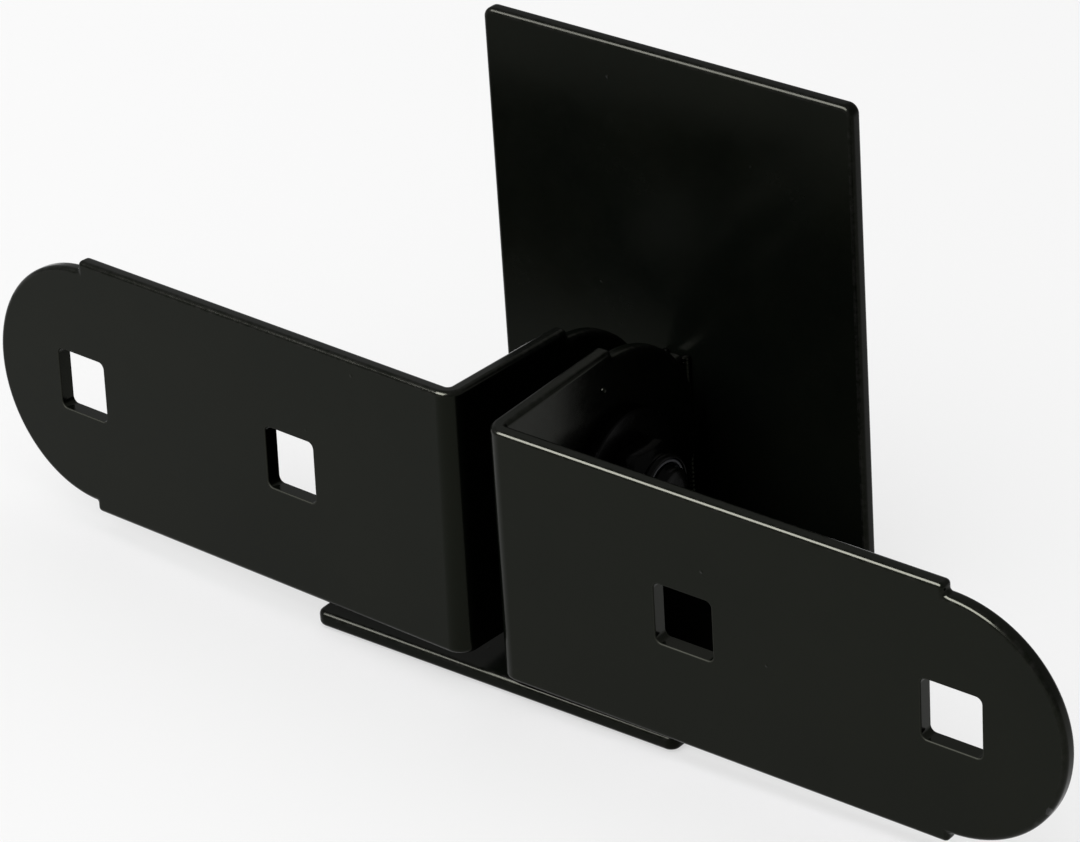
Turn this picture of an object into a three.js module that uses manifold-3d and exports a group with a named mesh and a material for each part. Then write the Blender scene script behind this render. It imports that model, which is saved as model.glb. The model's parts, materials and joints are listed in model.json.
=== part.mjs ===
// Pivoting strap latch: two bent straps swing on one bolt against an L-shaped latch plate.
//
// Units are millimetres, +Z is up. The origin is on the underside of the latch plate's ledge,
// straight below the pivot axis and midway between the straps. The pivot axis runs along X.
// The straps' legs lie in front (-Y) and the latch plate's upright stands behind (+Y).

import * as THREE from 'three';
import { mergeVertices } from 'three/addons/utils/BufferGeometryUtils.js';
import Module from 'manifold-3d';

const wasm = await Module();
wasm.setup();

// Driving dimensions -----------------------------------------------------------------------

// Straps: 2 in wide sheet, bent sharply.
const STRAP_WIDTH = 50.8;
const STRAP_THICKNESS = 3.0;
const STRAP_BEND_RADIUS = 0.5;      // inside of the bend
const FLANGE_GAP = 7.0;             // clear space between the two flanges at the pivot
const LEG_REACH = 117.2;            // flange's gap side to the leg's tip
const LEG_TO_PIVOT = 33.0;          // front of the fold to the pivot axis
const END_RADIUS = 23.4;            // round ends, narrower than the strap, so a shoulder is left

// How each strap hangs at rest, in degrees. The swivel turns it about the bolt, and a positive
// one leans it forward. The droop lowers its tip within the bolt's play. The overbend is how far
// its bend is closed past square. The right strap's foot comes down on the ledge's corner.
const LEFT_HANG = { swivel: -3.5, droop: 1.5, overbend: 5.0 };
const RIGHT_HANG = { swivel: 1.0, droop: 1.2, overbend: 0.6 };

// Square holes for carriage bolts.
const HOLE_SIZE = 12.0;
const HOLE_CORNER = 1.2;
const HOLE_FROM_FLANGE = 41.0;      // flange's gap side to the first hole's centre
const HOLE_PITCH = 54.0;

// Latch plate: one bent sheet, an upright with a ledge under the straps.
const PLATE_WIDTH = 80.0;
const PLATE_THICKNESS = 3.0;
const PLATE_HEIGHT = 98.5;
const PLATE_BEND_RADIUS = 3.0;
const PLATE_CORNER = 2.0;
const UPRIGHT_FROM_PIVOT = 27.1;    // pivot axis to the upright's front face
const LEDGE_BELOW_PIVOT = 27.1;     // pivot axis to the ledge's top face
const LEDGE_AHEAD_OF_PIVOT = 31.2;  // pivot axis to the ledge's front edge

// Tongue: the lug that stands on the ledge, between the flanges, and carries the bolt.
const TONGUE_THICKNESS = 3.0;
const TONGUE_NOSE_RADIUS = 16.0;
const TONGUE_ROOT_HEIGHT = 10.0;    // tongue's top edge above the pivot axis at the upright
const TONGUE_CORNER_CUT = 7.0;      // clears the plate's bend
const WELD_LEG = 1.2;               // small fillet welds, kept inside the flange gap

// Pivot hardware, 3/8 in.
const BOLT_RADIUS = 4.76;
const BOLT_HOLE_RADIUS = 5.15;
const HEX_FLATS = 14.3;
const HEAD_HEIGHT = 6.2;
const WASHER_RADIUS = 12.7;
const WASHER_THICKNESS = 2.1;
const THRUST_WASHER_RADIUS = 11.0;
const THRUST_WASHER_THICKNESS = 1.0;
const NUT_HEX_HEIGHT = 4.9;
const NUT_COLLAR_HEIGHT = 2.6;
const NUT_COLLAR_RADIUS = 6.4;
const INSERT_THICKNESS = 1.6;
const BOLT_END_PAST_NUT = 1.8;
const CHAMFER = 1.0;

const CLEARANCE = 0.3;              // air between neighbouring pieces
const STRAP_PLAY = 0.4;             // further room beside each flange, which lets the strap droop
const ROUND_STEPS = 72;             // segments of a full turn

// Derived places ---------------------------------------------------------------------------

const PIVOT_Z = PLATE_THICKNESS + LEDGE_BELOW_PIVOT;
const LEG_FRONT_Y = -LEG_TO_PIVOT;
const FLANGE_INNER_X = FLANGE_GAP / 2;
const FLANGE_OUTER_X = FLANGE_INNER_X + STRAP_THICKNESS;
const WASHER_X = FLANGE_OUTER_X + CLEARANCE + STRAP_PLAY;
const HARDWARE_X = WASHER_X + WASHER_THICKNESS + CLEARANCE;
const NUT_HEIGHT = NUT_HEX_HEIGHT + NUT_COLLAR_HEIGHT;
const BOLT_END_X = HARDWARE_X + NUT_HEIGHT + BOLT_END_PAST_NUT;

// Materials --------------------------------------------------------------------------------

const coating = new THREE.MeshStandardMaterial({ color: 0x0d0e0d, roughness: 0.22, metalness: 0.0 });
const blackSteel = new THREE.MeshStandardMaterial({ color: 0x161616, roughness: 0.35, metalness: 0.7 });
const nylon = new THREE.MeshStandardMaterial({ color: 0x1c1d20, roughness: 0.5, metalness: 0.0 });

// Solids -----------------------------------------------------------------------------------

function toSolid(geometry) {
  const bare = geometry.index ? geometry.toNonIndexed() : geometry.clone();
  bare.deleteAttribute('normal');
  bare.deleteAttribute('uv');
  const merged = mergeVertices(bare, 1e-4);
  return new wasm.Manifold(new wasm.Mesh({
    numProp: 3,
    vertProperties: new Float32Array(merged.attributes.position.array),
    triVerts: new Uint32Array(merged.index.array),
  }));
}

function toGeometry(solid) {
  const mesh = solid.getMesh();
  const geometry = new THREE.BufferGeometry();
  geometry.setAttribute('position', new THREE.BufferAttribute(new Float32Array(mesh.vertProperties), 3));
  geometry.setIndex(new THREE.BufferAttribute(new Uint32Array(mesh.triVerts), 1));
  geometry.computeVertexNormals();
  return geometry;
}

// Extrudes an outline drawn in (u, v) along w, from w = start to w = start + depth.
function prism(outline, start, depth, u, v, w, curveSegments = ROUND_STEPS / 2) {
  const geometry = new THREE.ExtrudeGeometry(outline, { depth, bevelEnabled: false, curveSegments });
  geometry.translate(0, 0, start);
  geometry.applyMatrix4(new THREE.Matrix4().makeBasis(u, v, w));
  return geometry;
}

const X = new THREE.Vector3(1, 0, 0);
const Y = new THREE.Vector3(0, 1, 0);
const Z = new THREE.Vector3(0, 0, 1);

const prismAlongX = (outline, start, depth) => prism(outline, start, depth, Y, Z, X);
const prismAlongZ = (outline, start, depth) => prism(outline, start, depth, X, Y, Z);

// Outline (x, z), extruded towards +Y from y = start.
function prismAlongY(outline, start, depth, curveSegments) {
  return prism(outline, -start - depth, depth, X, Z, Y.clone().negate(), curveSegments);
}

// Turns a closed profile of (radius, x) points about the pivot axis.
function turned(profile) {
  const points = profile.map(([radius, x]) => new THREE.Vector2(radius, x));
  const geometry = new THREE.LatheGeometry(points, ROUND_STEPS);
  geometry.rotateZ(-Math.PI / 2);
  geometry.translate(0, 0, PIVOT_Z);
  return geometry;
}

function ring(outerRadius, innerRadius, start, thickness) {
  return turned([
    [innerRadius, start],
    [outerRadius, start],
    [outerRadius, start + thickness],
    [innerRadius, start + thickness],
    [innerRadius, start],
  ]);
}

function pivotBore(start, depth) {
  return toSolid(turned([
    [0, start],
    [BOLT_HOLE_RADIUS, start],
    [BOLT_HOLE_RADIUS, start + depth],
    [0, start + depth],
  ]));
}

function hexOutline(flats) {
  const corner = flats / Math.sqrt(3);
  const outline = new THREE.Shape();
  for (let i = 0; i < 6; i += 1) {
    const angle = (i * Math.PI) / 3;
    outline[i ? 'lineTo' : 'moveTo'](corner * Math.cos(angle), PIVOT_Z + corner * Math.sin(angle));
  }
  return outline;
}

// A hexagon between two x positions, its corners cut back by a cone at the chamfered end.
function hexBody(start, height, chamferAtEnd) {
  const hex = toSolid(prismAlongX(hexOutline(HEX_FLATS), start, height));
  const corner = HEX_FLATS / Math.sqrt(3) + 0.2;
  const face = HEX_FLATS / 2 - 0.1;
  const drop = CHAMFER;
  const end = start + height;
  const profile = chamferAtEnd
    ? [[0, start - 1], [corner, start - 1], [corner, end - drop], [face, end], [0, end]]
    : [[0, start], [face, start], [corner, start + drop], [corner, end + 1], [0, end + 1]];
  return hex.intersect(toSolid(turned(profile)));
}

// Straps -----------------------------------------------------------------------------------

// Plan view of a bent strap whose leg points towards +X: leg, bend and flange as one band.
// The leg's front face would meet the flange's gap side at the corner, square but for the overbend.
function strapPlan(overbend) {
  const outer = STRAP_BEND_RADIUS + STRAP_THICKNESS;
  const flangeTip = END_RADIUS;
  const corner = new THREE.Vector2(FLANGE_INNER_X, LEG_FRONT_Y);
  const along = new THREE.Vector2(Math.cos(overbend), Math.sin(overbend));
  const through = new THREE.Vector2(-along.y, along.x);
  const tip = corner.clone().addScaledVector(along, LEG_REACH);
  const tipBack = tip.clone().addScaledVector(through, STRAP_THICKNESS);
  const bendX = FLANGE_INNER_X + outer;
  const bendY = LEG_FRONT_Y + outer / Math.tan((Math.PI / 2 - overbend) / 2);
  const bend = new THREE.Vector2(bendX, bendY);
  const legBack = bend.clone().addScaledVector(through, -STRAP_BEND_RADIUS);
  const plan = new THREE.Shape();
  plan.moveTo(tip.x, tip.y);
  plan.lineTo(tipBack.x, tipBack.y);
  plan.lineTo(legBack.x, legBack.y);
  plan.absarc(bendX, bendY, STRAP_BEND_RADIUS, overbend - Math.PI / 2, -Math.PI, true);
  plan.lineTo(FLANGE_OUTER_X, flangeTip);
  plan.lineTo(FLANGE_INNER_X, flangeTip);
  plan.lineTo(FLANGE_INNER_X, bendY);
  plan.absarc(bendX, bendY, outer, Math.PI, Math.PI * 1.5 + overbend, false);
  return plan;
}

// Turns a shape drawn for a square leg about the fold's corner, onto the overbent leg.
function ontoLeg(geometry, overbend) {
  geometry.translate(-FLANGE_INNER_X, -LEG_FRONT_Y, 0);
  geometry.rotateZ(overbend);
  geometry.translate(FLANGE_INNER_X, LEG_FRONT_Y, 0);
  return toSolid(geometry);
}

// Full strap width up to endCentre, then a round end of END_RADIUS about that centre.
function roundEndOutline(startAt, endCentre) {
  const half = STRAP_WIDTH / 2;
  const outline = new THREE.Shape();
  outline.moveTo(startAt, PIVOT_Z - half);
  outline.lineTo(endCentre, PIVOT_Z - half);
  outline.lineTo(endCentre, PIVOT_Z - END_RADIUS);
  outline.absarc(endCentre, PIVOT_Z, END_RADIUS, -Math.PI / 2, Math.PI / 2, false);
  outline.lineTo(endCentre, PIVOT_Z + half);
  outline.lineTo(startAt, PIVOT_Z + half);
  return outline;
}

function squareHole(centreX, overbend) {
  const half = HOLE_SIZE / 2;
  const straight = half - HOLE_CORNER;
  const outline = new THREE.Shape();
  outline.moveTo(centreX - straight, PIVOT_Z - half);
  outline.absarc(centreX + straight, PIVOT_Z - straight, HOLE_CORNER, -Math.PI / 2, 0, false);
  outline.absarc(centreX + straight, PIVOT_Z + straight, HOLE_CORNER, 0, Math.PI / 2, false);
  outline.absarc(centreX - straight, PIVOT_Z + straight, HOLE_CORNER, Math.PI / 2, Math.PI, false);
  outline.absarc(centreX - straight, PIVOT_Z - straight, HOLE_CORNER, Math.PI, Math.PI * 1.5, false);
  return ontoLeg(prismAlongY(outline, LEG_FRONT_Y - 1, STRAP_THICKNESS + 2, 4), overbend);
}

function strapSolid(overbend) {
  const half = STRAP_WIDTH / 2;
  const legEndCentre = FLANGE_INNER_X + LEG_REACH - END_RADIUS;
  const band = toSolid(prismAlongZ(strapPlan(overbend), PIVOT_Z - half - 1, STRAP_WIDTH + 2));
  const depth = LEG_TO_PIVOT + END_RADIUS + 4;
  const legOutline = ontoLeg(prismAlongY(roundEndOutline(0, legEndCentre), LEG_FRONT_Y - 2, depth), overbend);
  const flangeOutline = toSolid(prismAlongX(roundEndOutline(LEG_FRONT_Y - 1, 0), 0, LEG_REACH + 10));
  return band
    .intersect(legOutline)
    .intersect(flangeOutline)
    .subtract(squareHole(FLANGE_INNER_X + HOLE_FROM_FLANGE, overbend))
    .subtract(squareHole(FLANGE_INNER_X + HOLE_FROM_FLANGE + HOLE_PITCH, overbend))
    .subtract(pivotBore(0, FLANGE_OUTER_X + 1));
}

function mirroredInX(geometry) {
  const mirrored = geometry.clone().applyMatrix4(new THREE.Matrix4().makeScale(-1, 1, 1));
  const index = mirrored.index.array;
  for (let i = 0; i < index.length; i += 3) {
    [index[i], index[i + 1]] = [index[i + 1], index[i]];
  }
  mirrored.computeVertexNormals();
  return mirrored;
}

// Latch plate and tongue -------------------------------------------------------------------

// Side view (y, z) of the bent plate.
function platePlan() {
  const front = UPRIGHT_FROM_PIVOT;
  const back = front + PLATE_THICKNESS;
  const outer = PLATE_BEND_RADIUS + PLATE_THICKNESS;
  const side = new THREE.Shape();
  side.moveTo(-LEDGE_AHEAD_OF_PIVOT, 0);
  side.lineTo(back - outer, 0);
  side.absarc(back - outer, outer, outer, -Math.PI / 2, 0, false);
  side.lineTo(back, PLATE_HEIGHT);
  side.lineTo(front, PLATE_HEIGHT);
  side.lineTo(front, outer);
  side.absarc(back - outer, outer, PLATE_BEND_RADIUS, 0, -Math.PI / 2, true);
  side.lineTo(-LEDGE_AHEAD_OF_PIVOT, PLATE_THICKNESS);
  return side;
}

// A rectangle whose two corners at the +v end are rounded.
function roundedTopOutline(bottom, top) {
  const half = PLATE_WIDTH / 2;
  const outline = new THREE.Shape();
  outline.moveTo(-half, bottom);
  outline.lineTo(half, bottom);
  outline.absarc(half - PLATE_CORNER, top - PLATE_CORNER, PLATE_CORNER, 0, Math.PI / 2, false);
  outline.absarc(-half + PLATE_CORNER, top - PLATE_CORNER, PLATE_CORNER, Math.PI / 2, Math.PI, false);
  return outline;
}

function latchPlateSolid() {
  const band = toSolid(prismAlongX(platePlan(), -PLATE_WIDTH / 2, PLATE_WIDTH));
  const uprightOutline = toSolid(prismAlongY(roundedTopOutline(-1, PLATE_HEIGHT), -40, 80));
  const ledgePlan = prism(
    roundedTopOutline(-UPRIGHT_FROM_PIVOT - 10, LEDGE_AHEAD_OF_PIVOT),
    -PLATE_HEIGHT - 1,
    PLATE_HEIGHT + 2,
    X,
    Y.clone().negate(),
    Z.clone().negate(),
  );
  return band.intersect(uprightOutline).intersect(toSolid(ledgePlan));
}

// Side view (y, z): a round nose about the pivot, running down to the ledge and back to the upright.
function tongueOutline() {
  const foot = PLATE_THICKNESS + CLEARANCE;
  const back = UPRIGHT_FROM_PIVOT - CLEARANCE;
  const outline = new THREE.Shape();
  outline.moveTo(-TONGUE_NOSE_RADIUS, foot);
  outline.lineTo(back - TONGUE_CORNER_CUT, foot);
  outline.lineTo(back, foot + TONGUE_CORNER_CUT);
  outline.lineTo(back, PIVOT_Z + TONGUE_ROOT_HEIGHT);
  outline.lineTo(back - TONGUE_CORNER_CUT, PIVOT_Z + TONGUE_ROOT_HEIGHT);
  outline.absarc(0, PIVOT_Z, TONGUE_NOSE_RADIUS, Math.PI * 0.35, Math.PI, false);
  return outline;
}

function tongueSolid() {
  return toSolid(prismAlongX(tongueOutline(), -TONGUE_THICKNESS / 2, TONGUE_THICKNESS))
    .subtract(pivotBore(-TONGUE_THICKNESS, TONGUE_THICKNESS * 2));
}

// Fillet weld along the tongue's back edge, on the side of the tongue that faces +X.
function uprightWeld() {
  const near = TONGUE_THICKNESS / 2 + CLEARANCE;
  const back = UPRIGHT_FROM_PIVOT - CLEARANCE;
  const section = new THREE.Shape();
  section.moveTo(near, back);
  section.lineTo(near, back - WELD_LEG);
  section.lineTo(near + WELD_LEG, back);
  const start = PLATE_THICKNESS + TONGUE_CORNER_CUT + WELD_LEG;
  return prismAlongZ(section, start, PIVOT_Z + TONGUE_ROOT_HEIGHT - start);
}

// Fillet weld along the tongue's foot, on the side of the tongue that faces +X.
function ledgeWeld() {
  const near = TONGUE_THICKNESS / 2 + CLEARANCE;
  const foot = PLATE_THICKNESS + CLEARANCE;
  const section = new THREE.Shape();
  section.moveTo(near, foot);
  section.lineTo(near + WELD_LEG, foot);
  section.lineTo(near, foot + WELD_LEG);
  const end = UPRIGHT_FROM_PIVOT - TONGUE_CORNER_CUT - WELD_LEG;
  return prismAlongY(section, -TONGUE_NOSE_RADIUS, end + TONGUE_NOSE_RADIUS);
}

// Pivot hardware ---------------------------------------------------------------------------

function boltSolid() {
  const shank = toSolid(turned([
    [0, -HARDWARE_X - 1],
    [BOLT_RADIUS, -HARDWARE_X - 1],
    [BOLT_RADIUS, BOLT_END_X - CHAMFER],
    [BOLT_RADIUS - CHAMFER, BOLT_END_X],
    [0, BOLT_END_X],
  ]));
  return shank.add(hexBody(-HARDWARE_X - HEAD_HEIGHT, HEAD_HEIGHT, false));
}

// Hexagon with a round collar, bored out, with a seat for the nylon ring in the collar.
function lockNutSolid() {
  const collarStart = HARDWARE_X + NUT_HEX_HEIGHT - CHAMFER;
  const end = HARDWARE_X + NUT_HEIGHT;
  const collar = toSolid(turned([
    [0, collarStart],
    [NUT_COLLAR_RADIUS, collarStart],
    [NUT_COLLAR_RADIUS, end - CHAMFER],
    [NUT_COLLAR_RADIUS - CHAMFER / 2, end],
    [0, end],
  ]));
  const insertSeat = toSolid(turned([
    [0, end - INSERT_THICKNESS - CLEARANCE],
    [NUT_COLLAR_RADIUS - 0.8, end - INSERT_THICKNESS - CLEARANCE],
    [NUT_COLLAR_RADIUS - 0.8, end + 1],
    [0, end + 1],
  ]));
  return hexBody(HARDWARE_X, NUT_HEX_HEIGHT, true)
    .add(collar)
    .subtract(pivotBore(HARDWARE_X - 1, NUT_HEIGHT + 2))
    .subtract(insertSeat);
}

function nutInsert() {
  const outer = NUT_COLLAR_RADIUS - 0.8 - CLEARANCE / 2;
  const start = HARDWARE_X + NUT_HEIGHT - INSERT_THICKNESS;
  return ring(outer, BOLT_RADIUS + CLEARANCE / 3, start, INSERT_THICKNESS - 0.2);
}

// Assembly ---------------------------------------------------------------------------------

const assembly = new THREE.Group();

function place(name, geometry, material, parent = assembly) {
  const mesh = new THREE.Mesh(geometry, material);
  mesh.name = name;
  parent.add(mesh);
  return mesh;
}

// A strap hangs on the bolt, so it sits in a group that turns about the pivot. Its side is -1 for
// the left strap, which is the mirror image of the right one.
function hangStrap(name, side, hang) {
  const { degToRad } = THREE.MathUtils;
  const right = toGeometry(strapSolid(degToRad(hang.overbend)));
  const hanger = new THREE.Group();
  hanger.position.set(0, 0, PIVOT_Z);
  hanger.rotation.set(degToRad(hang.swivel), side * degToRad(hang.droop), 0);
  assembly.add(hanger);
  place(name, side < 0 ? mirroredInX(right) : right, coating, hanger).position.z = -PIVOT_Z;
}

hangStrap('left_strap', -1, LEFT_HANG);
hangStrap('right_strap', 1, RIGHT_HANG);

place('latch_plate', toGeometry(latchPlateSolid()), coating);
place('pivot_tongue', toGeometry(tongueSolid()), coating);
place('pivot_bolt', toGeometry(boltSolid()), blackSteel);
place('lock_nut', toGeometry(lockNutSolid()), blackSteel);
place('nut_insert', nutInsert(), nylon);

const welds = { upright_weld: uprightWeld(), ledge_weld: ledgeWeld() };
for (const [name, bead] of Object.entries(welds)) {
  const solid = toGeometry(toSolid(bead));
  place(`right_${name}`, solid, coating);
  place(`left_${name}`, mirroredInX(solid), coating);
}

const thrustGap = TONGUE_THICKNESS / 2 + CLEARANCE;
// Each washer's start along X, radius and thickness.
const washers = {
  head_washer: [-WASHER_X - WASHER_THICKNESS, WASHER_RADIUS, WASHER_THICKNESS],
  left_thrust_washer: [-thrustGap - THRUST_WASHER_THICKNESS, THRUST_WASHER_RADIUS, THRUST_WASHER_THICKNESS],
  right_thrust_washer: [thrustGap, THRUST_WASHER_RADIUS, THRUST_WASHER_THICKNESS],
  nut_washer: [WASHER_X, WASHER_RADIUS, WASHER_THICKNESS],
};
for (const [name, [start, radius, thickness]] of Object.entries(washers)) {
  place(name, ring(radius, BOLT_HOLE_RADIUS, start, thickness), blackSteel);
}

export default assembly;
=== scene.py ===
"""Looks of the pivoting strap latch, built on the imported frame. Sizes are in millimetres."""
import json
import math

import bmesh
import bpy
from mathutils import Matrix, Vector


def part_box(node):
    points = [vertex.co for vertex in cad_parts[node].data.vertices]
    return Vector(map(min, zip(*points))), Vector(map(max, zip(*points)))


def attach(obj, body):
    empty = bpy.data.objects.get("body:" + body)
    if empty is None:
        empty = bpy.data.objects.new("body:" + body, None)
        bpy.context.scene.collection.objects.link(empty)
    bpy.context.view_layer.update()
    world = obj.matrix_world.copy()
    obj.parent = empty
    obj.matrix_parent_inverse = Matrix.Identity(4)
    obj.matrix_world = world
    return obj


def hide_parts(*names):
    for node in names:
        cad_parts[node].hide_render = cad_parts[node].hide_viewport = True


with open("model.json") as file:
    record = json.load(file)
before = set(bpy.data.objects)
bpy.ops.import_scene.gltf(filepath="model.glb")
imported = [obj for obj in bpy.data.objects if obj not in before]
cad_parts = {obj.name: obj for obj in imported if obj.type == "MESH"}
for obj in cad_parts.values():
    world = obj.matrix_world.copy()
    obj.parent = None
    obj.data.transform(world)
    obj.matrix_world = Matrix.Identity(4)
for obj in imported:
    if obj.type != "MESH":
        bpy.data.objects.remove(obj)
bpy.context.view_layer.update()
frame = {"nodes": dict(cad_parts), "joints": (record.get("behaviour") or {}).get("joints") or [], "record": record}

MM = 0.001

# Camera: where it looks, how far off it stands and how long its lens is.
CAMERA_AZIMUTH = 39.62
CAMERA_ELEVATION = 29.23
CAMERA_ROLL = 3.89
CAMERA_DISTANCE = 984.9
CAMERA_AIM = (-2.72, -9.55, 42.54)
CAMERA_LENS = 188.07
SENSOR_WIDTH = 36.0

# Edges of the coated sheet are rounded by the punching and by the coating itself.
SHEET_EDGE = 0.95
HOLE_EDGE = 0.25
SHEET_EDGE_STEPS = 5
HOLE_MARGIN = 1.8  # a bolt hole's edges lie within this much of its stated opening
HOLE_EDGE_DULLNESS = 0.45  # added to the coating's roughness there
SHARP_ANGLE = math.radians(32)
FLAT_ANGLE = math.radians(0.5)  # faces that meet at less than this are one flat face
SAME_POINT = 0.001  # corners closer than this are one corner

# Bolt and nut, 3/8 in coarse thread.
BOLT_RADIUS = 4.76
BOLT_CLEARANCE_RADIUS = 5.15
THREAD_PITCH = 1.5875
THREAD_DEPTH = 0.6
THREAD_START = 4.0
THREAD_LEAD_IN = 0.9
THREAD_RUNUP = 1.0  # a ring of the plain shank stands this far ahead of the thread
THREAD_STEPS = 12  # in one pitch
HEAD_FILLET = 0.5
END_RING_SHARE = 0.5  # where the ring on each end of the bolt lies, as a share of the radius
NUT_HEX_HEIGHT = 4.9
BORE_CHAMFER = 0.5
COLLAR_GAP = 0.15  # between the nylon ring and the collar
COLLAR_WALL = 0.8
COLLAR_ROUND = 0.9
COLLAR_FOOT = (0.3, 0.25)  # length and width of the slope where the collar leaves the hexagon
COLLAR_LIP = (0.25, 0.2)  # length and width of the chamfer inside the collar's mouth
SEAT_RELIEF = 0.1  # the nylon ring's seat is cut this much deeper than the ring
AIR = 0.3  # between neighbouring pieces, as in the CAD model
SLIVER = 0.01  # sets apart two stations that would otherwise lie in one plane

# Hexagons. Shares are of the flats' radius.
HEX_FACE_SHARE = 0.94  # where the chamfer meets the end face
HEX_BEARING_SHARE = 0.9  # where the inner ring of the bearing face lies
HEX_CHAMFER = math.radians(30)
HEX_CHAMFER_RINGS = (1.0, 0.93, 0.6, 0.3, 0.0)  # from the corners in to the end face
HEX_CORNER_EASE = 0.12
HEX_BEARING_EDGE = 0.2

# Rings and weld beads.
WASHER_EDGE = 0.35
WASHER_EDGE_SHARE = 0.3  # of the thickness, at most
INSERT_EDGE = 0.25
INSERT_CLEARANCE = 0.1
WELD_RIPPLE = 0.9
WELD_RIPPLE_STEPS = 6
WELD_ARC_STEPS = 8
WELD_LEG_SHARE = 0.84  # a bead's leg between ripples, as a share of its CAD box
WELD_SWELL_SHARE = 0.14  # what a ripple adds to the leg
WELD_FULLNESS = 0.8  # 1 is a quarter circle, less is fuller

AROUND = 96  # steps in a full turn about the pivot
ROUND_STEPS = 4  # steps in a quarter round

# Colours are linear. The coating is almost black: its look is what it mirrors.
COATING_DARK = (0.0002, 0.0003, 0.0002)
COATING_LIGHT = (0.0004, 0.0005, 0.0003)
# The sheet's rounded outer edges are painted lighter: partly thin, worn film and partly a painted highlight.
COATING_EDGE_WEAR_AND_HIGHLIGHT = (0.0020, 0.0020, 0.0018)
COATING_TINT = (0.93, 1.0, 0.76, 1.0)
HARDWARE_DARK = (0.0004, 0.0004, 0.0003)
HARDWARE_LIGHT = (0.0009, 0.0009, 0.0008)
# Convex edges of the fasteners are painted lighter: partly worn film and partly a painted highlight.
HARDWARE_EDGE_WEAR_AND_HIGHLIGHT = (0.0022, 0.0022, 0.0020)
NYLON_DARK = (0.014, 0.014, 0.018)
NYLON_LIGHT = (0.024, 0.024, 0.029)
FLOOR_DARK = (0.86, 0.86, 0.86)
FLOOR_LIGHT = (0.88, 0.88, 0.88)

# The studio, in metres.
FLOOR_HALF_SIDE = 6.0
FLOOR_DROP = 0.0002
LIGHTS_AIM = (0, 0, 0.04)
WORLD_BRIGHTNESS = 0.45
EDGE_LIGHT_COLOUR = (1.0, 0.94, 1.04)

# A speck of coating stands on the outer face of the right strap's flange, above the washer.
NIB_PLACE = (6.86, -3.4, 48.6)
NIB_RADIUS = 0.7
NIB_SLIVER = 0.005  # the cut leaves faces as narrow as this, which are merged away

PIVOT = Vector(frame["joints"][0]["pos_m"]) / MM


# Mesh helpers ------------------------------------------------------------------------------

def add_object(name, mesh, material, body, nodes):
    """Adds the mesh as a piece that rides on the body and stands for the CAD nodes, if any."""
    piece = bpy.data.objects.new(name, mesh)
    bpy.context.scene.collection.objects.link(piece)
    mesh.materials.clear()
    mesh.materials.append(material)
    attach(piece, body)
    if nodes:
        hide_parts(*nodes)
    return piece


def smooth_with_sharp_edges(bm):
    """Smooth faces, with the edges that turn more than SHARP_ANGLE kept crisp."""
    for face in bm.faces:
        face.smooth = True
    for edge in bm.edges:
        edge.smooth = not edge.is_manifold or edge.calc_face_angle() < SHARP_ANGLE


def mesh_from(bm, name):
    """Turns the bmesh into a mesh with its normals outward, and frees it."""
    bmesh.ops.recalc_face_normals(bm, faces=bm.faces)
    mesh = bpy.data.meshes.new(name)
    bm.to_mesh(mesh)
    bm.free()
    return mesh


def value_at(value, angle):
    """The value itself, or what it gives for the angle when it is a function."""
    return value(angle) if callable(value) else value


def skin(bm, rings, hollow=False):
    """Joins each ring to the next. The last joins the first if hollow, else both ends are capped."""
    pairs = list(zip(rings, rings[1:]))
    if hollow:
        pairs.append((rings[-1], rings[0]))
    for near, far in pairs:
        for step in range(len(near)):
            after = (step + 1) % len(near)
            bm.faces.new((near[step], near[after], far[after], far[step]))
    if not hollow:
        bm.faces.new(rings[0])
        bm.faces.new(rings[-1])


def stations_mesh(name, stations, hollow=False):
    """A body along the pivot axis. Each station is (x, radius); either may depend on the angle."""
    bm = bmesh.new()
    rings = []
    for x, radius in stations:
        ring = []
        for step in range(AROUND):
            angle = math.tau * step / AROUND
            r = value_at(radius, angle)
            point = Vector((value_at(x, angle), r * math.cos(angle), r * math.sin(angle)))
            point += Vector((0, PIVOT.y, PIVOT.z))
            ring.append(bm.verts.new(point * MM))
        rings.append(ring)
    skin(bm, rings, hollow)
    smooth_with_sharp_edges(bm)
    return mesh_from(bm, name)


def quarter_round(x, radius, size, start):
    """Stations of a quarter circle about (x, radius), from the angle start in degrees."""
    stations = []
    for step in range(ROUND_STEPS + 1):
        turn = math.radians(start + 90 * step / ROUND_STEPS)
        stations.append((x + size * math.cos(turn), radius + size * math.sin(turn)))
    return stations


# Sheet pieces ------------------------------------------------------------------------------

def at_bolt_hole(edge):
    """Whether the edge belongs to one of the square holes that the record states as openings."""
    margin = HOLE_MARGIN * MM
    for opening in frame["record"]["physics"]["openings"]:
        low, high = opening["box_m"]
        if opening["name"].endswith("bolt_hole") and all(
            low[axis] - margin < vert.co[axis] < high[axis] + margin
            for vert in edge.verts
            for axis in range(3)
        ):
            return True
    return False


def round_edges(bm, edges, radius, mark):
    """Rounds the edges, and marks the new faces with 1 in the attribute of that name."""
    on_edge = bm.faces.layers.float[mark]
    rounded = bmesh.ops.bevel(
        bm,
        geom=edges,
        offset=radius * MM,
        segments=SHEET_EDGE_STEPS,
        profile=0.5,
        affect="EDGES",
        clamp_overlap=False,
    )
    for face in rounded["faces"]:
        face[on_edge] = 1.0


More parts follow.
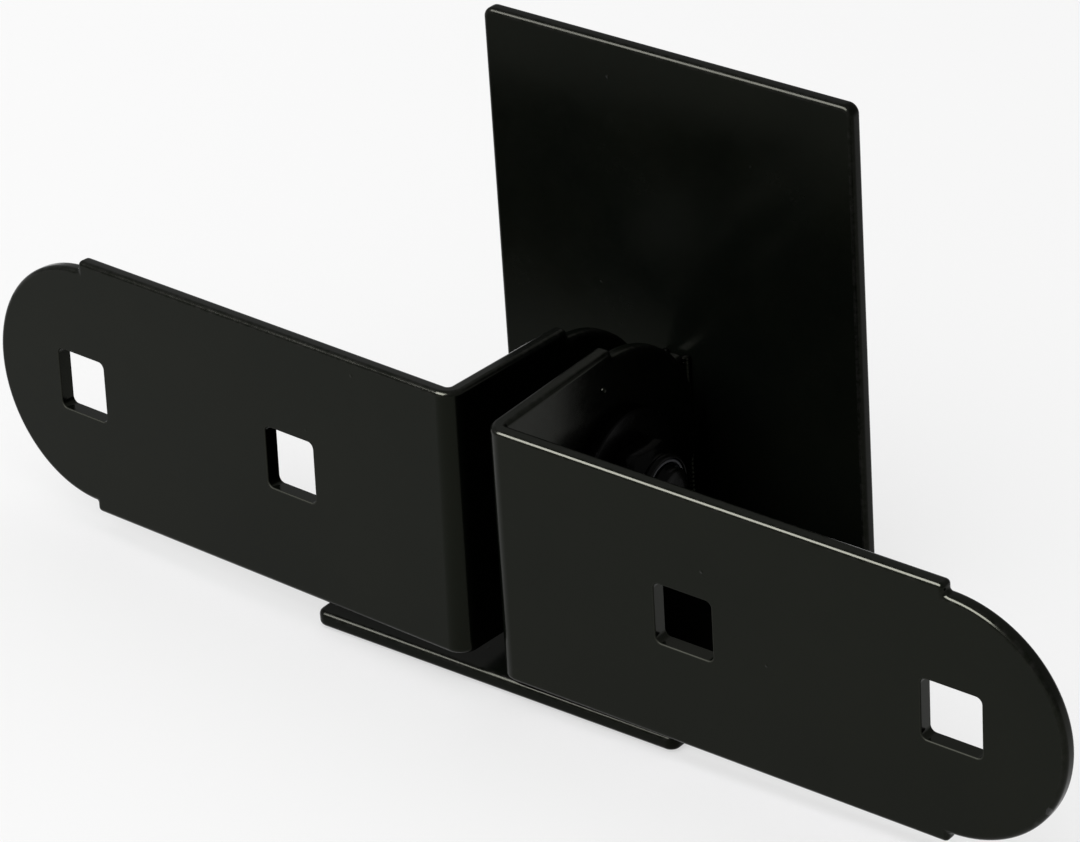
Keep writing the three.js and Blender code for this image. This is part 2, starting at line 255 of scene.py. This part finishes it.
def sheet_piece(node, material, body):
    """The CAD sheet with its flat faces merged, its cut edges rounded and its normals weighted."""
    bm = bmesh.new()
    bm.from_mesh(frame["nodes"][node].data)
    bmesh.ops.remove_doubles(bm, verts=bm.verts, dist=SAME_POINT * MM)
    bmesh.ops.dissolve_limit(bm, angle_limit=FLAT_ANGLE, verts=bm.verts, edges=bm.edges)
    bm.faces.layers.float.new("edge")
    bm.faces.layers.float.new("hole_edge")
    sharp = [edge for edge in bm.edges if edge.is_manifold and edge.calc_face_angle() > SHARP_ANGLE]
    punched = [edge for edge in sharp if at_bolt_hole(edge)]
    outline = [edge for edge in sharp if edge not in punched]
    if punched:
        round_edges(bm, punched, HOLE_EDGE, "hole_edge")
    outline = [edge for edge in outline if edge.is_valid]
    round_edges(bm, outline, SHEET_EDGE, "edge")
    for face in bm.faces:
        face.smooth = True
    piece = add_object(f"{node}_sheet", mesh_from(bm, node), material, body, [node])
    weighted = piece.modifiers.new("flat faces stay flat", "WEIGHTED_NORMAL")
    weighted.weight = 100
    return piece


def coating_nib(material):
    """A small dome of coating on the flange's face, cut flat where it meets the sheet."""
    spot = Vector(NIB_PLACE) * MM
    bm = bmesh.new()
    bmesh.ops.create_icosphere(
        bm, subdivisions=4, radius=NIB_RADIUS * MM, matrix=Matrix.Translation(spot)
    )
    everything = bm.verts[:] + bm.edges[:] + bm.faces[:]
    cut = bmesh.ops.bisect_plane(
        bm, geom=everything, plane_co=spot, plane_no=(-1, 0, 0), clear_outer=True
    )
    rim = [item for item in cut["geom_cut"] if isinstance(item, bmesh.types.BMEdge)]
    bmesh.ops.edgeloop_fill(bm, edges=rim)
    bmesh.ops.remove_doubles(bm, verts=bm.verts, dist=NIB_SLIVER * MM)
    smooth_with_sharp_edges(bm)
    mesh = mesh_from(bm, "coating_nib")
    return add_object("coating_nib", mesh, material, "right_swing", [])


# Pivot hardware ----------------------------------------------------------------------------

def ring_mesh(name, lo, hi, inner, edge):
    """A ring as wide and as thick as the box, with its edges rounded by the radius called edge."""
    outer = (hi.y - lo.y) / 2
    stations = []
    stations += quarter_round(hi.x - edge, outer - edge, edge, 0)
    stations += quarter_round(lo.x + edge, outer - edge, edge, 90)
    stations += quarter_round(lo.x + edge, inner + edge, edge, 180)
    stations += quarter_round(hi.x - edge, inner + edge, edge, 270)
    return stations_mesh(name, stations, hollow=True)


def washer(node, material):
    """A flat washer with rounded edges."""
    lo, hi = (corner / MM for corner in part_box(node))
    edge = min(WASHER_EDGE, (hi.x - lo.x) * WASHER_EDGE_SHARE)
    mesh = ring_mesh(node, lo, hi, BOLT_CLEARANCE_RADIUS, edge)
    add_object(f"{node}_ring", mesh, material, "latch_body", [node])


def hex_radius(flats):
    """Radius of a hexagon across flats, as a function of the angle, with its corners just eased."""
    def radius(angle):
        turn = (angle % (math.pi / 3)) - math.pi / 6
        return min(flats / 2 / math.cos(turn), flats / math.sqrt(3) - HEX_CORNER_EASE)
    return radius


def hex_stations(start, height, flats, outward):
    """A hexagon from start, its far end chamfered; outward is +1 or -1 along X."""
    radius = hex_radius(flats)
    face = flats / 2 * HEX_FACE_SHARE

    def chamfered(share):
        def r(angle):
            return face + (radius(angle) - face) * share

        def x(angle):
            return start + outward * (height - (r(angle) - face) * math.tan(HEX_CHAMFER))
        return x, r

    stations = [(start, flats / 2 * HEX_BEARING_SHARE)]
    stations.append((start, lambda angle: radius(angle) - HEX_BEARING_EDGE))
    stations.append((start + outward * HEX_BEARING_EDGE, radius))
    for share in HEX_CHAMFER_RINGS:
        stations.append(chamfered(share))
    return stations


def bolt(material):
    """The hexagon-headed bolt, threaded from THREAD_START to its end."""
    lo, hi = (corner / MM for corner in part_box("pivot_bolt"))
    flats = hi.z - lo.z
    head_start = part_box("head_washer")[0].x / MM - AIR
    head = hex_stations(head_start, head_start - lo.x, flats, -1)
    head = [(lo.x, flats / 2 * END_RING_SHARE)] + head[::-1]

    def thread(x):
        def radius(angle):
            turn = (x / THREAD_PITCH - angle / math.tau) % 1.0
            depth = THREAD_DEPTH * 2 * abs(turn - 0.5)
            lead_in = max(0.0, x - (hi.x - THREAD_LEAD_IN))
            return BOLT_RADIUS - depth * min(1.0, (x - THREAD_START) / THREAD_PITCH) - lead_in
        return radius

    shank = [(head_start + SLIVER, BOLT_RADIUS + HEAD_FILLET)]
    shank.append((head_start + HEAD_FILLET, BOLT_RADIUS))
    shank.append((THREAD_START - THREAD_RUNUP, BOLT_RADIUS))
    shank.append((THREAD_START, BOLT_RADIUS))
    steps = round((hi.x - THREAD_START) / THREAD_PITCH * THREAD_STEPS)
    for step in range(1, steps + 1):
        x = THREAD_START + (hi.x - THREAD_START) * step / steps
        shank.append((x, thread(x)))
    shank.append((hi.x, BOLT_RADIUS * END_RING_SHARE))
    mesh = stations_mesh("pivot_bolt", head + shank)
    add_object("hex_bolt", mesh, material, "latch_body", ["pivot_bolt"])


def lock_nut(material):
    """A hexagon nut with a thin collar that is turned in over the nylon ring."""
    lo, hi = (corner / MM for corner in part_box("lock_nut"))
    flats = hi.z - lo.z
    insert_lo, insert_hi = (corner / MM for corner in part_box("nut_insert"))
    collar_inner = (insert_hi.y - insert_lo.y) / 2 + COLLAR_GAP
    collar_outer = collar_inner + COLLAR_WALL
    hex_end = lo.x + NUT_HEX_HEIGHT
    stations = [(lo.x + BORE_CHAMFER, BOLT_CLEARANCE_RADIUS)]
    stations.append((lo.x, BOLT_CLEARANCE_RADIUS + BORE_CHAMFER))
    stations += hex_stations(lo.x, NUT_HEX_HEIGHT, flats, 1)
    foot_length, foot_width = COLLAR_FOOT
    stations.append((hex_end + 2 * SLIVER, collar_outer + foot_width))
    stations.append((hex_end + foot_length, collar_outer))
    collar_end = hi.x - COLLAR_ROUND
    stations += quarter_round(collar_end, collar_outer - COLLAR_ROUND, COLLAR_ROUND, 90)[::-1]
    lip_length, lip_width = COLLAR_LIP
    stations.append((hi.x, collar_inner + lip_width))
    stations.append((hi.x - lip_length, collar_inner))
    seat = insert_lo.x - SEAT_RELIEF
    stations.append((seat, collar_inner))
    stations.append((seat, BOLT_CLEARANCE_RADIUS))
    mesh = stations_mesh("lock_nut", stations, hollow=True)
    add_object("nylon_lock_nut", mesh, material, "latch_body", ["lock_nut"])


def insert_ring(material):
    """The nylon ring, which fits closely on the bolt."""
    lo, hi = (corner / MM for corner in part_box("nut_insert"))
    mesh = ring_mesh("nut_insert", lo, hi, BOLT_RADIUS + INSERT_CLEARANCE, INSERT_EDGE)
    add_object("nut_insert_ring", mesh, material, "latch_body", ["nut_insert"])


def weld_bead(node, material):
    """A rippled fillet in the corner beside the tongue; it runs along its longer side."""
    lo, hi = (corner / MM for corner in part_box(node))
    upright = hi.z - lo.z > hi.y - lo.y
    side = 1 if lo.x > 0 else -1
    near = lo.x if side > 0 else hi.x
    leg = hi.x - lo.x
    length = (hi.z - lo.z) if upright else (hi.y - lo.y)

    def point(along, out, up):
        """The place that far along the corner, out from the tongue and off the plate."""
        if upright:
            return Vector((near + side * out, hi.y - up, lo.z + along))
        return Vector((near + side * out, lo.y + along, lo.z + up))

    steps = round(length / WELD_RIPPLE) * WELD_RIPPLE_STEPS
    bm = bmesh.new()
    rings = []
    for step in range(steps + 1):
        along = length * step / steps
        phase = (step % WELD_RIPPLE_STEPS) / WELD_RIPPLE_STEPS
        swell = leg * (WELD_LEG_SHARE + WELD_SWELL_SHARE * math.sin(math.pi * phase))
        ring = []
        for corner in range(WELD_ARC_STEPS + 1):
            turn = math.radians(90 * corner / WELD_ARC_STEPS)
            out = swell * math.cos(turn) ** WELD_FULLNESS
            up = swell * math.sin(turn) ** WELD_FULLNESS
            ring.append(point(along, out, up))
        ring.append(point(along, 0, 0))
        rings.append([bm.verts.new(place * MM) for place in ring])
    skin(bm, rings)
    smooth_with_sharp_edges(bm)
    mesh = mesh_from(bm, node)
    add_object(f"{node}_bead", mesh, material, "latch_body", [node])


# Materials ---------------------------------------------------------------------------------

class Shader:
    """A principled material with helpers that add and join its texture nodes."""

    def __init__(self, name):
        self.material = bpy.data.materials.new(name)
        self.material.use_nodes = True
        self.tree = self.material.node_tree
        self.principled = self.tree.nodes["Principled BSDF"]
        self.place = self.add("ShaderNodeTexCoord").outputs["Object"]

    def add(self, kind, **settings):
        node = self.tree.nodes.new(kind)
        for key, value in settings.items():
            setattr(node, key, value)
        return node

    def join(self, output, target):
        self.tree.links.new(output, target)

    def noise(self, size_mm, detail=3.0, roughness=0.55, offset=0.0):
        """Noise with features of about that size; another offset gives another pattern."""
        mapping = self.add("ShaderNodeMapping")
        mapping.inputs["Location"].default_value = (offset, offset * 0.7, offset * 1.3)
        self.join(self.place, mapping.inputs["Vector"])
        node = self.add("ShaderNodeTexNoise")
        node.inputs["Scale"].default_value = 1.0 / (size_mm * MM)
        node.inputs["Detail"].default_value = detail
        node.inputs["Roughness"].default_value = roughness
        self.join(mapping.outputs["Vector"], node.inputs["Vector"])
        return node.outputs["Fac"]

    def ramp(self, value, low, high, low_out, high_out):
        """Takes low to high over to low_out to high_out, and holds the ends."""
        node = self.add("ShaderNodeMapRange")
        for key, number in zip(
            ("From Min", "From Max", "To Min", "To Max"), (low, high, low_out, high_out)
        ):
            node.inputs[key].default_value = number
        self.join(value, node.inputs["Value"])
        return node.outputs["Result"]

    def mix_colour(self, factor, first, second):
        """Mixes two colours or colour outputs. Sockets 6 and 7 in and 2 out are the colour ones."""
        node = self.add("ShaderNodeMix", data_type="RGBA")
        self.join(factor, node.inputs["Factor"])
        for socket, colour in ((node.inputs[6], first), (node.inputs[7], second)):
            if isinstance(colour, tuple):
                socket.default_value = (*colour, 1.0)
            else:
                self.join(colour, socket)
        return node.outputs[2]

    def math(self, operation, first, second):
        node = self.add("ShaderNodeMath", operation=operation)
        for socket, value in zip(node.inputs, (first, second)):
            if isinstance(value, (int, float)):
                socket.default_value = value
            else:
                self.join(value, socket)
        return node.outputs["Value"]

    def bump(self, height, strength, distance_mm, previous=None):
        """A bumped normal, laid over the previous one if there is one."""
        node = self.add("ShaderNodeBump")
        node.inputs["Strength"].default_value = strength
        node.inputs["Distance"].default_value = distance_mm * MM
        self.join(height, node.inputs["Height"])
        if previous is not None:
            self.join(previous, node.inputs["Normal"])
        return node.outputs["Normal"]


def nibs(shader, spacing_mm, radius, offset):
    """1 on a few small round specks, 0 elsewhere: one cell in several holds a speck."""
    cells = shader.add("ShaderNodeTexVoronoi")
    cells.inputs["Scale"].default_value = 1.0 / (spacing_mm * MM)
    shader.join(shader.place, cells.inputs["Vector"])
    chosen = shader.ramp(shader.noise(spacing_mm * 3, 1.0, 0.5, offset), 0.56, 0.6, 0.0, 1.0)
    speck = shader.ramp(cells.outputs["Distance"], radius, radius * 0.35, 0.0, 1.0)
    return shader.math("MULTIPLY", speck, chosen)


def gloss_coating(name, offset, gloss=0.105, haziness=0.0, peel=0.13):
    """Glossy black coating: orange peel, slow waves, a few nibs, and outer edges painted lighter in broken
    patches, partly as thinner, worn film and partly as a painted highlight.

    The punched holes' edges are duller. Gloss is the specular level, haziness is added to the
    roughness, and peel is the strength of the orange peel."""
    shader = Shader(name)
    surface = shader.principled
    surface.inputs["Specular IOR Level"].default_value = gloss
    surface.inputs["Specular Tint"].default_value = COATING_TINT
    patches = shader.ramp(shader.noise(38, 4.0, 0.6, offset), 0.35, 0.68, 0.0, 1.0)
    film = shader.mix_colour(patches, COATING_DARK, COATING_LIGHT)
    edge = shader.add("ShaderNodeAttribute", attribute_name="edge").outputs["Fac"]
    broken = shader.ramp(shader.noise(1.1, 5.0, 0.65, offset + 1), 0.40, 0.72, 0.0, 0.7)
    # Painted highlight and wear: the rounded outer edges are lightened in broken patches.
    edge_wear_and_highlight = shader.math("MULTIPLY", edge, broken)
    colour = shader.mix_colour(edge_wear_and_highlight, film, COATING_EDGE_WEAR_AND_HIGHLIGHT)
    shader.join(colour, surface.inputs["Base Color"])
    haze = shader.ramp(shader.noise(16, 5.0, 0.62, offset + 2), 0.3, 0.75, 0.12, 0.21)
    fine = shader.ramp(shader.noise(0.9, 2.0, 0.5, offset + 3), 0.3, 0.7, haziness, haziness + 0.035)
    hole_edge = shader.add("ShaderNodeAttribute", attribute_name="hole_edge").outputs["Fac"]
    dull = shader.math("MULTIPLY", hole_edge, HOLE_EDGE_DULLNESS)
    rough = shader.math("ADD", shader.math("ADD", haze, fine), dull)
    shader.join(rough, surface.inputs["Roughness"])
    normal = shader.bump(shader.noise(26, 2.0, 0.45, offset + 4), 0.35, 0.10)
    normal = shader.bump(shader.noise(1.9, 2.5, 0.5, offset + 5), peel, 0.012, normal)
    normal = shader.bump(nibs(shader, 7.0, 0.055, offset), 0.8, 0.16, normal)
    shader.join(normal, surface.inputs["Normal"])
    return shader.material


def hardware_finish(name):
    """Semi-gloss black fasteners: a mottled film, painted a little lighter on convex edges, partly as worn film
    and partly as a painted highlight.
    """
    shader = Shader(name)
    surface = shader.principled
    surface.inputs["Specular IOR Level"].default_value = 0.05
    mottle = shader.ramp(shader.noise(2.4, 5.0, 0.65), 0.3, 0.7, 0.0, 1.0)
    film = shader.mix_colour(mottle, HARDWARE_DARK, HARDWARE_LIGHT)
    convex = shader.add("ShaderNodeNewGeometry").outputs["Pointiness"]
    # Painted highlight and wear: convex edges, found by pointiness, are lightened.
    edge = shader.ramp(convex, 0.53, 0.64, 0.0, 1.0)
    colour = shader.mix_colour(edge, film, HARDWARE_EDGE_WEAR_AND_HIGHLIGHT)
    shader.join(colour, surface.inputs["Base Color"])
    shader.join(shader.ramp(mottle, 0.0, 1.0, 0.20, 0.30), surface.inputs["Roughness"])
    normal = shader.bump(shader.noise(0.7, 3.0, 0.6), 0.35, 0.02)
    normal = shader.bump(shader.noise(5.0, 2.0, 0.5, 3.0), 0.3, 0.08, normal)
    shader.join(normal, surface.inputs["Normal"])
    return shader.material


def nylon_finish(name):
    """Dark nylon with a faint moulded mottle and a waxy surface."""
    shader = Shader(name)
    surface = shader.principled
    mottle = shader.ramp(shader.noise(1.5, 3.0), 0.3, 0.7, 0.0, 1.0)
    colour = shader.mix_colour(mottle, NYLON_DARK, NYLON_LIGHT)
    shader.join(colour, surface.inputs["Base Color"])
    shader.join(shader.ramp(mottle, 0.0, 1.0, 0.42, 0.55), surface.inputs["Roughness"])
    shader.join(shader.bump(shader.noise(0.5, 2.0), 0.3, 0.02), surface.inputs["Normal"])
    return shader.material


def floor_finish(name):
    """Matt white paper with a hardly visible slow change of tone."""
    shader = Shader(name)
    surface = shader.principled
    tone = shader.ramp(shader.noise(600, 2.0), 0.3, 0.7, 0.0, 1.0)
    colour = shader.mix_colour(tone, FLOOR_DARK, FLOOR_LIGHT)
    shader.join(colour, surface.inputs["Base Color"])
    surface.inputs["Roughness"].default_value = 0.9
    surface.inputs["Specular IOR Level"].default_value = 0.1
    return shader.material


# Studio ------------------------------------------------------------------------------------

def add_floor():
    """One square face, just under the part."""
    half = FLOOR_HALF_SIDE
    bm = bmesh.new()
    corners = [(-half, -half), (half, -half), (half, half), (-half, half)]
    bm.faces.new([bm.verts.new((x, y, -FLOOR_DROP)) for x, y in corners])
    floor = bpy.data.objects.new("floor", mesh_from(bm, "floor"))
    bpy.context.scene.collection.objects.link(floor)
    floor.data.materials.append(floor_finish("pale floor"))
    return floor


def add_softbox(name, direction, distance, width, height, radiance, receivers):
    """An area light that looks at the part from a direction and lights only the receivers.

    Its distance and sides are in metres, and its radiance is what a mirror would show."""
    light = bpy.data.lights.new(name, "AREA")
    light.shape = "RECTANGLE"
    light.size = width
    light.size_y = height
    light.energy = radiance * math.pi * width * height
    lamp = bpy.data.objects.new(name, light)
    bpy.context.scene.collection.objects.link(lamp)
    outward = Vector(direction).normalized()
    lamp.location = Vector(LIGHTS_AIM) + outward * distance
    lamp.rotation_euler = outward.to_track_quat("Z", "Y").to_euler()
    lamp.light_linking.receiver_collection = receivers
    return light


def add_world(strength):
    """An even white surrounding."""
    world = bpy.data.worlds.new("soft white room")
    world.use_nodes = True
    background = world.node_tree.nodes["Background"]
    background.inputs["Color"].default_value = (1.0, 1.0, 1.0, 1.0)
    background.inputs["Strength"].default_value = strength
    bpy.context.scene.world = world


def add_camera():
    """The camera stands off the aim by its azimuth and elevation, then is rolled."""
    azimuth = math.radians(CAMERA_AZIMUTH)
    elevation = math.radians(CAMERA_ELEVATION)
    roll = math.radians(CAMERA_ROLL)
    back = Vector((
        math.sin(azimuth) * math.cos(elevation),
        -math.cos(azimuth) * math.cos(elevation),
        math.sin(elevation),
    ))
    level_right = Vector((math.cos(azimuth), math.sin(azimuth), 0))
    level_up = back.cross(level_right)
    right = level_right * math.cos(roll) - level_up * math.sin(roll)
    up = level_up * math.cos(roll) + level_right * math.sin(roll)
    data = bpy.data.cameras.new("camera")
    data.lens = CAMERA_LENS
    data.sensor_width = SENSOR_WIDTH
    camera = bpy.data.objects.new("camera", data)
    bpy.context.scene.collection.objects.link(camera)
    turn = Matrix((right, up, back)).transposed().to_4x4()
    spot = Vector(CAMERA_AIM) * MM + back * CAMERA_DISTANCE * MM
    camera.matrix_world = Matrix.Translation(spot) @ turn
    bpy.context.scene.camera = camera


# Build -------------------------------------------------------------------------------------

# Each sheet's body, and where its coating differs from the left strap's.
SHEETS = {
    "left_strap": ("left_swing", {}),
    "right_strap": ("right_swing", {"gloss": 0.112}),
    "latch_plate": ("latch_body", {"gloss": 0.06, "haziness": 0.06, "peel": 0.36}),
    "pivot_tongue": ("latch_body", {}),
}
sheets = bpy.data.collections.new("sheets")
for index, (node, (body, coat)) in enumerate(SHEETS.items()):
    sheets.objects.link(
        sheet_piece(node, gloss_coating(f"{node} coating", 3.1 * index, **coat), body)
    )

steel = hardware_finish("black hardware")
for node in ("head_washer", "left_thrust_washer", "right_thrust_washer", "nut_washer"):
    washer(node, steel)
bolt(steel)
lock_nut(steel)
insert_ring(nylon_finish("dark nylon"))

bead_coating = gloss_coating("weld coating", 17.0)
sheets.objects.link(coating_nib(bead_coating))
for side in ("left", "right"):
    for place in ("upright", "ledge"):
        weld_bead(f"{side}_{place}_weld", bead_coating)

floor_only = bpy.data.collections.new("floor")
floor_only.objects.link(add_floor())
add_world(WORLD_BRIGHTNESS)
overhead = add_softbox(
    "floor softbox",
    direction=(-0.1, -0.1, 1.0),
    distance=1.8,
    width=2.4,
    height=2.4,
    radiance=1.9,
    receivers=floor_only,
)
overhead.use_shadow = False
edge_light = add_softbox(
    "edge softbox",
    direction=(-0.24, -0.63, 0.68),
    distance=1.3,
    width=1.2,
    height=0.75,
    radiance=54,
    receivers=sheets,
)
edge_light.color = EDGE_LIGHT_COLOUR
add_camera()
bpy.context.scene.view_settings.view_transform = "Standard"
